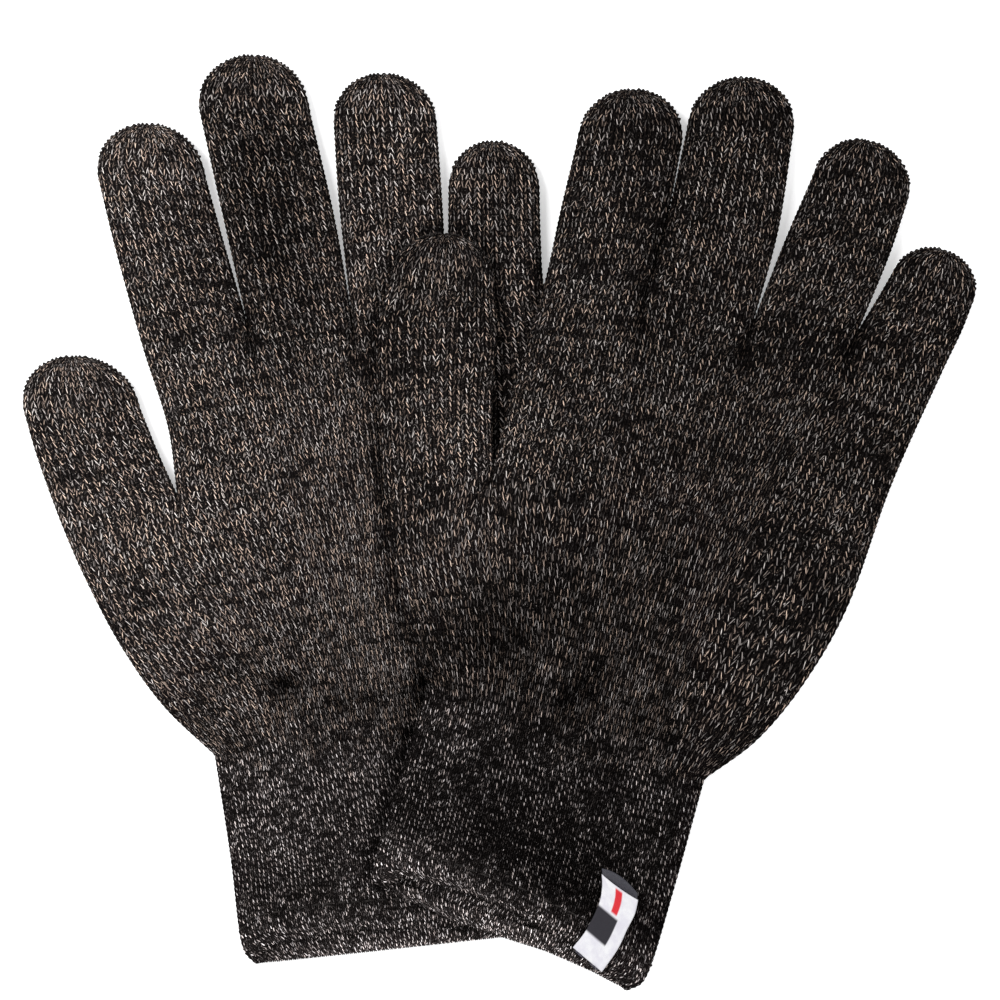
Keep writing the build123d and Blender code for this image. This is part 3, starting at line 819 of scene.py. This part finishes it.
def tip_thread(knitted, glove, name):
    """The thread that draws a fingertip's last loops shut, wound unevenly round its rim."""
    line, at = tip_rim(knitted, glove, name)
    ahead = units(np.gradient(line, axis=0))
    outward = np.cross(ahead, [0, 0, 1.0])
    outward *= -np.sign((outward * (line.mean(0) - line)).sum(1))[:, None]
    above = np.cross(ahead, outward)
    seed = ORDER.index(name) * 2 + LOOP_SEED[glove["side"]]
    radius = LOOP_RADIUS * (1 + LOOP_UNEVEN * waves(at, at * 0, 2.2, seed))
    angle = at / LOOP_PITCH * math.tau + 1.9 * waves(at, at * 0, 5.0, seed + 1)
    spoke = outward * np.cos(angle)[:, None] + above * np.sin(angle)[:, None]
    paths = [(line + spoke * radius[:, None], spoke)]
    return swept(f"{glove['side']}_{name}_tip_loops", paths, THREAD, THREAD)


# ---- The woven label ----
def cuff_height(knitted, spots, reach=1.3):
    """The height of the cloth's top at each spot."""
    points = knitted["points"]
    low, high = spots.min(0) - reach, spots.max(0) + reach
    points = points[((points[:, :2] > low) & (points[:, :2] < high)).all(1)]
    far = np.linalg.norm(spots[:, None] - points[None, :, :2], axis=2)
    return np.where(far < reach, points[None, :, 2], 0.0).max(1)


def label_grid(longer):
    """Places on the label from its sewn edge up, and their share of its length and width. The
    back leaf is longer than the front one."""
    left, right = (spaced(dense(line, 0, 4), LABEL_ROWS) for line in (LABEL_LEFT, LABEL_RIGHT))
    shares = (np.linspace(0, 1, LABEL_ROWS + 1), np.linspace(0, 1, LABEL_COLS + 1))
    along, across = np.meshgrid(*shares, indexing="ij")
    spots = left[:, None] * (1 - across[..., None]) + right[:, None] * across[..., None]
    ahead = unit(0.5 * (left[-1] - left[-4] + right[-1] - right[-4]))
    bow = across * (1 - across)
    # The front leaf's free end is a little hollow, and the back leaf's is a shallow arch.
    arch = longer * (0.55 + 2.2 * bow) if longer else -1.4 * bow
    free = smooth((along - LABEL_FREE) / (1 - LABEL_FREE))
    return spots + ahead * (arch * free)[..., None], along, across, free


def fitted_height(along, across, height):
    """A smooth height that the cloth's own height hardly passes, as stiff ribbon lies on it."""
    s, t = along.ravel(), across.ravel()
    terms = np.stack([np.ones_like(s), s, t, s * s, s * t, t * t, s**3], -1)
    fit = terms @ np.linalg.lstsq(terms, height, rcond=None)[0]
    return (fit + np.percentile(height - fit, 97)).reshape(along.shape)


def leaf_squares(rows, cols):
    """Corner numbers of a leaf's top, its underside and the edge between them."""
    at = np.arange(rows * cols).reshape(rows, cols)
    under = at + rows * cols
    loop = np.r_[at[0, :-1], at[:-1, -1], at[-1, ::-1][:-1], at[::-1, 0][:-1]]
    after = np.roll(loop, -1)
    edge = np.stack([loop + rows * cols, after + rows * cols, after, loop], -1)
    return np.concatenate([corners(at).reshape(-1, 4), corners(under).reshape(-1, 4)[:, ::-1], edge])


def label_leaf(name, knitted, above, longer, curl):
    """One leaf of the folded ribbon, laid on the cuff and a little curled at its free end."""
    spots, along, across, free = label_grid(longer)
    spots = spots + ORIGIN
    lay = fitted_height(along, across, cuff_height(knitted, spots.reshape(-1, 2))) + above
    lay = lay + curl * free**2 * (0.6 + 0.8 * across)
    lay = lay + LABEL_RIPPLE * np.sin(along * 6.3) * (across - 0.4)
    top = np.concatenate([spots, lay[..., None]], -1)
    points = np.concatenate([top.reshape(-1, 3), (top - [0, 0, LABEL_THICK]).reshape(-1, 3)])
    squares = leaf_squares(*along.shape)
    uv = np.stack([across.ravel(), along.ravel()], -1)
    return mesh_object(name, points, squares, np.concatenate([uv, uv])[squares]), top


def label_stitches(top):
    """Two stitches of thread that hold the label's sewn edge."""
    reach = np.linspace(-1, 1, 13)[:, None]
    arch = -0.85 + np.cos(reach * math.pi / 2 * 0.999) ** 0.6
    out = np.repeat(np.array([[0, 0, 1.0]]), len(reach), 0)
    paths = []
    for share in (0.25, 0.75):
        col = round(share * LABEL_COLS)
        middle = top[0, col] + (top[0, col] - top[1, col]) * 0.5
        along_edge = top[1, col + 2] - top[1, col - 2]
        along_edge *= LABEL_STITCH_REACH / np.linalg.norm(along_edge)
        paths.append((middle + along_edge * reach + out * arch, out))
    return swept("label_thread_stitches", paths, LABEL_THREAD, LABEL_THREAD)


# ---- Materials ----
INK, CHARCOAL, ASH = (0.0006, 0.0005, 0.0005, 1), (0.0125, 0.0103, 0.0100, 1), (0.013, 0.0107, 0.0103, 1)
COPPER, SILVER, PEWTER = (1.0, 0.76, 0.62, 1), (0.96, 0.87, 0.83, 1), (0.82, 0.76, 0.77, 1)
TARNISH = (0.16, 0.125, 0.12, 1)


class Nodes:
    """Short calls for building a material's nodes."""

    def __init__(self, name):
        self.material = bpy.data.materials.new(name)
        self.material.use_nodes = True
        self.tree = self.material.node_tree
        self.tree.nodes.clear()
        self.out = self.add("ShaderNodeOutputMaterial")
        self.shader = self.add("ShaderNodeBsdfPrincipled")
        self.link(self.shader.outputs[0], self.out.inputs[0])

    def add(self, kind, **settings):
        """A new node with its settings."""
        node = self.tree.nodes.new(kind)
        for key, value in settings.items():
            setattr(node, key, value)
        return node

    def link(self, a, b):
        self.tree.links.new(a, b)

    def put(self, value, socket):
        """Gives a socket a value, or links it to another socket."""
        if isinstance(value, bpy.types.NodeSocket):
            self.link(value, socket)
        else:
            socket.default_value = value

    def finish(self, **values):
        """Sets the shader's inputs, each named with _ for a space, and gives the material."""
        for name, value in values.items():
            self.put(value, self.shader.inputs[name.replace("_", " ")])
        return self.material

    def value(self, kind, *values, **settings):
        """The first output of a new node whose first inputs are given in order."""
        node = self.add(kind, **settings)
        for socket, value in zip(node.inputs, values):
            self.put(value, socket)
        return node.outputs[0]

    def math(self, operation, *values, clamp=False):
        return self.value("ShaderNodeMath", *values, operation=operation, use_clamp=clamp)

    def times(self, a, b):
        """The product of two values."""
        return self.math("MULTIPLY", a, b)

    def ramp(self, value, low, high, out_low=0.0, out_high=1.0):
        """A smooth step from out_low to out_high while value goes from low to high."""
        limits = (low, high, out_low, out_high)
        return self.value("ShaderNodeMapRange", value, *limits, interpolation_type="SMOOTHSTEP")

    def vector(self, x, y, z=0.0):
        return self.value("ShaderNodeCombineXYZ", x, y, z)

    def mix(self, share, a, b, kind="MIX"):
        """A colour between a and b."""
        node = self.add("ShaderNodeMix", data_type="RGBA", blend_type=kind)
        for number, value in ((0, share), (6, a), (7, b)):
            self.put(value, node.inputs[number])
        return node.outputs[2]

    def uv(self, name):
        """The two coordinates of a UV map."""
        split = self.add("ShaderNodeSeparateXYZ")
        self.link(self.add("ShaderNodeUVMap", uv_map=name).outputs[0], split.inputs[0])
        return split.outputs[0], split.outputs[1]

    def named(self, kind, **values):
        """The first output of a new node whose inputs are given by name."""
        node = self.add(kind)
        for name, value in values.items():
            self.put(value, node.inputs[name])
        return node.outputs[0]

    def noise(self, vector, scale, detail=2.0, rough=0.5):
        return self.named("ShaderNodeTexNoise", Vector=vector, Scale=scale, Detail=detail, Roughness=rough)

    def grain(self, place, pitch, seed, detail=2.0, rough=0.5):
        """Noise over a map, with so many grains to each of the map's units."""
        at = self.vector(self.times(place[0], pitch[0]), self.times(place[1], pitch[1]), seed)
        return self.noise(at, 1.0, detail, rough)

    def random(self, vector):
        """Three random numbers, the same wherever the vector is the same."""
        node = self.add("ShaderNodeTexWhiteNoise", noise_dimensions="3D")
        self.put(vector, node.inputs["Vector"])
        split = self.add("ShaderNodeSeparateColor")
        self.link(node.outputs["Color"], split.inputs[0])
        return split.outputs

    def bump(self, height, strength, distance):
        return self.named("ShaderNodeBump", Strength=strength, Distance=distance, Height=height)


def strand(n, stitch, seed, slope, thin, keep):
    """Where the metallic strand surfaces on a leg of a stitch: a slanted stroke, brighter or
    fainter from stitch to stitch. side is -1 on a stitch's left leg and 1 on its right one."""
    leg, row, rib = stitch["leg"], stitch["row"], stitch["rib"]
    r = n.random(n.vector(leg, row, seed))
    place = n.random(n.vector(leg, row, seed + 50.0))
    middle = n.ramp(r[0], 0.0, 1.0, 0.30, 0.70)
    reach = n.ramp(r[1], 0.0, 1.0, slope[0], slope[1])
    spread = n.ramp(rib, 0.0, 1.0, 0.15, 0.36)
    centre = n.math("MULTIPLY_ADD", n.ramp(place[0], 0.0, 1.0, -1.0, 1.0), spread, 0.5)
    height = n.math("SUBTRACT", stitch["along"], centre)
    lean = n.times(n.times(height, reach), stitch["side"])
    off = n.math("ABSOLUTE", n.math("SUBTRACT", n.math("SUBTRACT", stitch["across"], middle), lean))
    line = n.ramp(off, thin[0], thin[1], 1.0, 0.0)
    longest = n.ramp(rib, 0.0, 1.0, 0.33, 0.22)
    end = n.times(n.ramp(place[1], 0.0, 1.0, 0.2, 1.0), longest)
    end = n.ramp(n.math("ABSOLUTE", height), end, n.math("ADD", longest, 0.12), 1.0, 0.0)
    shows = n.ramp(n.math("SUBTRACT", r[2], keep), 0.0, 0.60)
    return n.times(n.times(line, end), shows)


def stitch_place(n):
    """Where a point lies in its stitch. The stitch map counts wales and courses."""
    wale, course = n.uv("stitch")
    legs = n.times(wale, 2.0)
    leg = n.math("FLOOR", legs)
    across, along = n.math("FRACT", legs), n.math("FRACT", course)
    return {
        "map": (wale, course), "leg": leg, "row": n.math("FLOOR", course), "across": across, "along": along,
        "side": n.math("MULTIPLY_ADD", n.math("MODULO", leg, 2.0), 2.0, -1.0),
        "rim": n.math("ABSOLUTE", n.math("SUBTRACT", across, 0.5)),
        "dive": n.math("ABSOLUTE", n.math("SUBTRACT", along, 0.5)),
        "painted_light_and_shade": n.add("ShaderNodeAttribute", attribute_name="painted_light_and_shade").outputs["Fac"],
        "rib": n.add("ShaderNodeAttribute", attribute_name="rib").outputs["Fac"],
    }


def heathering(n, stitch):
    """Streaks along the courses where more or less of the strand shows."""
    streak = n.grain(stitch["map"], (0.22, 0.62), 0.0, 3.0, 0.6)
    cloud = n.grain(stitch["map"], (0.06, 0.08), 4.0)
    heather = n.math("ADD", n.times(streak, 0.72), n.times(cloud, 0.28))
    # More of the strand shows where the painted light is brighter.
    return n.math("ADD", heather, n.ramp(stitch["painted_light_and_shade"], 0.3, 1.7, -0.05, 0.06))


def flecks(n, stitch, heather):
    """Where the strand shows. In some patches the left legs show more of it, in others the
    right ones. On the ribbed cuff it shows shorter and thicker, and on fewer legs."""
    rib = stitch["rib"]
    patch = n.grain(stitch["map"], (0.10, 0.10), 14.0)
    hides = n.times(n.ramp(patch, 0.38, 0.62, 0.06, 0.42), stitch["side"])
    keep = n.math("ADD", n.ramp(heather, 0.38, 0.62, 0.63, 0.0), hides)
    keep = n.math("MULTIPLY_ADD", rib, 0.20, keep)
    thin = (n.ramp(rib, 0.0, 1.0, 0.015, 0.06), n.ramp(rib, 0.0, 1.0, 0.115, 0.26))
    main = strand(n, stitch, 0.5, (0.35, 1.0), thin, keep)
    less = n.times(strand(n, stitch, 3.5, (-0.2, 0.8), (0.015, 0.10), 0.35), 0.45)
    worm = n.grain(stitch["map"], (6.0, 2.6), 2.0, 2.0, 0.6)
    stray = n.times(n.ramp(worm, 0.62, 0.72), n.ramp(heather, 0.35, 0.6, 0.10, 0.80))
    faint = n.times(n.math("MAXIMUM", less, stray), n.ramp(rib, 0.0, 1.0, 1.0, 0.55))
    return n.math("MAXIMUM", main, faint, clamp=True)


def yarn_colour(n, stitch, heather, fibre, fleck):
    """Dark yarn with painted shade between a stitch's legs and where it dives between its neighbours, with
    copper and silver flecks.
    """
    # Painted shade: darker towards the edges of each leg and between the courses.
    painted_gap_shade = n.times(n.ramp(stitch["rim"], 0.22, 0.5, 1.0, 0.35), n.ramp(stitch["dive"], 0.30, 0.5, 1.0, 0.65))
    dark = n.mix(n.ramp(fibre, 0.38, 0.68), INK, CHARCOAL)
    dark = n.mix(n.ramp(heather, 0.40, 0.65, 0.0, 0.45), dark, ASH)
    dark = n.mix(1.0, dark, n.vector(painted_gap_shade, painted_gap_shade, painted_gap_shade), "MULTIPLY")
    tint = n.random(n.vector(stitch["leg"], stitch["row"], 7.5))
    metal = n.mix(n.ramp(tint[0], 0.35, 0.65), COPPER, SILVER)
    metal = n.mix(n.times(stitch["rib"], 0.7), metal, PEWTER)
    metal = n.mix(n.ramp(tint[1], 0.0, 1.0, 0.0, 0.72), metal, TARNISH)
    # The painted light and shade scales the whole colour.
    painted_light_and_shade = stitch["painted_light_and_shade"]
    return n.mix(1.0, n.mix(fleck, dark, metal), n.vector(painted_light_and_shade, painted_light_and_shade, painted_light_and_shade), "MULTIPLY")


def knit_material(name):
    """Dark heathered yarn plied with a metallic strand."""
    n = Nodes(name)
    stitch = stitch_place(n)
    heather = heathering(n, stitch)
    fleck = flecks(n, stitch, heather)
    fibre = n.grain(stitch["map"], (11.0, 2.4), 9.0, 3.0, 0.7)
    leg_round = n.times(n.ramp(stitch["rim"], 0.0, 0.5, 1.0, 0.0), n.ramp(stitch["dive"], 0.2, 0.5, 1.0, 0.6))
    height = n.math("MULTIPLY_ADD", fibre, 0.5, leg_round)
    return n.finish(
        Base_Color=yarn_colour(n, stitch, heather, fibre, fleck),
        Metallic=n.ramp(fleck, 0.0, 1.0, 0.0, 0.35),
        Roughness=n.ramp(fleck, 0.0, 1.0, 0.90, 0.50),
        Specular_IOR_Level=0.0,
        Normal=n.bump(height, 0.6, 0.0004),
    )


def thread_material(name, dark, light, rough=0.8, scale=2600.0):
    """Twisted thread: plies seen as fine slanted streaks."""
    n = Nodes(name)
    twist = n.noise(n.add("ShaderNodeTexCoord").outputs["Object"], scale, 3.0, 0.65)
    colour = n.mix(n.ramp(twist, 0.35, 0.68), dark, light)
    normal = n.bump(twist, 0.7, 0.0001)
    return n.finish(Base_Color=colour, Roughness=rough, Specular_IOR_Level=0.15, Normal=normal)


def woven(n, place, threads):
    """Height of a satin weave with that many threads across and along the ribbon."""
    warp = n.math("PINGPONG", n.times(place[0], threads[0]), 0.5)
    weft = n.math("PINGPONG", n.times(place[1], threads[1]), 0.5)
    return n.math("ADD", warp, n.times(weft, 1.6))


def box_mask(n, place, low, high, soft=0.02):
    """1 inside a rectangle of the ribbon, with edges as soft as its threads."""
    sides = []
    for value, a, b in zip(place, low, high):
        begins, ends = n.ramp(value, a - soft, a + soft), n.ramp(value, b - soft, b + soft, 1.0, 0.0)
        sides.append(n.times(begins, ends))
    return n.times(*sides)


def ribbon_material():
    """White satin ribbon with a plain dark block and a plain red stripe woven in."""
    n = Nodes("label_ribbon")
    place = n.uv("stitch")
    weave = woven(n, place, (95.0, 120.0))
    soil = n.grain(place, (3.0, 6.0), 0.0, 3.0, 0.6)
    white = n.mix(n.ramp(soil, 0.3, 0.7), (0.56, 0.55, 0.60, 1), (0.68, 0.68, 0.69, 1))
    white = n.mix(n.ramp(weave, 0.0, 0.9, 0.45, 0.0), white, (0.36, 0.35, 0.40, 1))
    block = n.mix(n.ramp(weave, 0.0, 0.9), (0.006, 0.006, 0.008, 1), (0.024, 0.022, 0.029, 1))
    red = n.mix(n.ramp(weave, 0.0, 0.9), (0.34, 0.006, 0.012, 1), (0.58, 0.025, 0.035, 1))
    colour = n.mix(box_mask(n, place, (-0.1, 0.265), (0.66, 0.61)), white, block)
    colour = n.mix(box_mask(n, place, (0.385, 0.645), (0.575, 0.97)), colour, red)
    normal = n.bump(weave, 0.35, 0.00008)
    return n.finish(Base_Color=colour, Roughness=0.5, Specular_IOR_Level=0.18, Normal=normal)


def backing_material():
    """Dark grey satin: the ribbon's other leaf."""
    n = Nodes("label_backing")
    weave = woven(n, n.uv("stitch"), (95.0, 130.0))
    colour = n.mix(n.ramp(weave, 0.0, 0.9), (0.008, 0.008, 0.013, 1), (0.026, 0.025, 0.036, 1))
    normal = n.bump(weave, 0.4, 0.00008)
    return n.finish(Base_Color=colour, Roughness=0.42, Specular_IOR_Level=0.5, Normal=normal)


# ---- Build the gloves ----
knit_look = knit_material("marled_knit")
cuff_look = knit_material("cuff_knit")
thread_look = thread_material("sewing_thread", (0.004, 0.0035, 0.0035, 1), (0.030, 0.025, 0.023, 1))
elastic_look = thread_material("elastic_yarn", (0.012, 0.012, 0.013, 1), (0.05, 0.048, 0.05, 1), 0.6, 1500.0)
stitch_look = thread_material("label_thread", (0.02, 0.018, 0.03, 1), (0.09, 0.085, 0.11, 1), 0.6)


def finish_piece(obj, look, slot, body, *nodes):
    """Gives a piece its material and body, and hides the CAD nodes it stands for. slot is not used."""
    obj.data.materials.append(look)
    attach(obj, body)
    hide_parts(*nodes)


def build_digit(glove, knitted, name):
    """A digit's knit, and the thread round its tip."""
    side = glove["side"]
    strips = [f for f in knitted["faces"] if f["name"] == name]
    digit = piece(f"{side}_{name}_knit", knitted, [(f, f["base"], len(f["ids"]) - 1) for f in strips])
    digit.data.materials.append(knit_look)
    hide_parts(*(n for n in (f"{side}_{name}", f"{side}_{name}_base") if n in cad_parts))
    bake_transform(digit)
    loops = tip_thread(knitted, glove, name)
    finish_piece(loops, thread_look, "sewing_thread", f"{side}_{name}", f"{side}_{name}_tip_thread")


def build_glove(glove, knitted):
    """The knitted pieces of one glove, and its elastic and threads."""
    side, faces = glove["side"], knitted["faces"]
    body = f"{side}_glove"
    wrist = faces[0]["wrist"]
    hem_top = 2 * HEM_COURSES * ROWS
    hand = piece(f"{side}_hand_knit", knitted, [(f, wrist, f["base"]) for f in faces])
    finish_piece(hand, knit_look, "marled_knit", body, f"{side}_hand")
    for part, low, high in (("hem", 0, hem_top), ("cuff", hem_top, wrist)):
        tube = piece(f"{side}_{part}_knit", knitted, [(f, low, high) for f in faces])
        finish_piece(tube, cuff_look, "cuff_knit", body, f"{side}_{part}")
    for name in ORDER:
        build_digit(glove, knitted, name)
    elastic = cuff_elastic(knitted, side, hem_top, wrist)
    finish_piece(elastic, elastic_look, "elastic_yarn", body, f"{side}_cuff_elastic")
    stitches = hem_thread(knitted, side, hem_top)
    finish_piece(stitches, thread_look, "sewing_thread", body, f"{side}_hem_thread")


def build_label(knitted):
    """The folded ribbon label on the upper glove's cuff, and its stitches."""
    back, _ = label_leaf("label_back_ribbon", knitted, BACK_HIGH, BACK_LEAF_SHOWS, BACK_CURL)
    finish_piece(back, backing_material(), "label_backing", "label", "label_back_leaf")
    front, top = label_leaf("label_front_ribbon", knitted, FRONT_HIGH, 0.0, FRONT_CURL)
    finish_piece(front, ribbon_material(), "label_ribbon", "label", "label_front_leaf")
    finish_piece(label_stitches(top), stitch_look, "label_thread", "upper_glove", "label_stitches")


lower_knit = knit(LOWER, flat_support)
upper_knit = knit(UPPER, drape_over(lower_knit))
shade_under(lower_knit, upper_knit)
build_glove(LOWER, lower_knit)
build_glove(UPPER, upper_knit)
build_label(upper_knit)


# ---- Floor, light and camera ----
def floor():
    """Plain pale paper, a little lit of its own so that it stays white round the gloves."""
    bpy.ops.mesh.primitive_plane_add(size=6.0, location=(0, 0, 0))
    plane = bpy.context.object
    plane.name = "floor"
    n = Nodes("floor_paper")
    n.finish(Base_Color=(0.93, 0.93, 0.935, 1), Roughness=0.9)
    plane.data.materials.append(n.finish(Emission_Color=(1, 1, 1, 1), Emission_Strength=0.35))


def area_light(name, location, size, power):
    """A round lamp that points at the gloves."""
    data = bpy.data.lights.new(name, "AREA")
    data.shape, data.size, data.energy = "DISK", size, power
    lamp = placed(name, data)
    lamp.location = location
    lamp.rotation_euler = (-Vector(location)).to_track_quat("-Z", "Y").to_euler()


def studio():
    """Soft light from all round, a key light at the upper left and a fill at the lower right."""
    world = bpy.data.worlds.new("studio")
    world.use_nodes = True
    background = world.node_tree.nodes["Background"]
    background.inputs["Color"].default_value = (1.0, 1.0, 1.0, 1)
    background.inputs["Strength"].default_value = 0.75
    bpy.context.scene.world = world
    area_light("key", (-0.55, 0.35, 0.85), 0.5, 9.0)
    area_light("fill", (0.6, -0.5, 0.8), 0.9, 5.0)
    bpy.context.scene.view_settings.view_transform = "Standard"


def camera():
    """Straight down on the pair, as in the photo."""
    data = bpy.data.cameras.new("camera")
    data.lens, data.sensor_width = LENS, SENSOR
    cam = placed("camera", data)
    height = VIEW_WIDE * LENS / SENSOR + 2 * HALF_THICK
    cam.location = (VIEW_CENTRE[0] * MM, VIEW_CENTRE[1] * MM, height * MM)
    bpy.context.scene.camera = cam


floor()
studio()
camera()
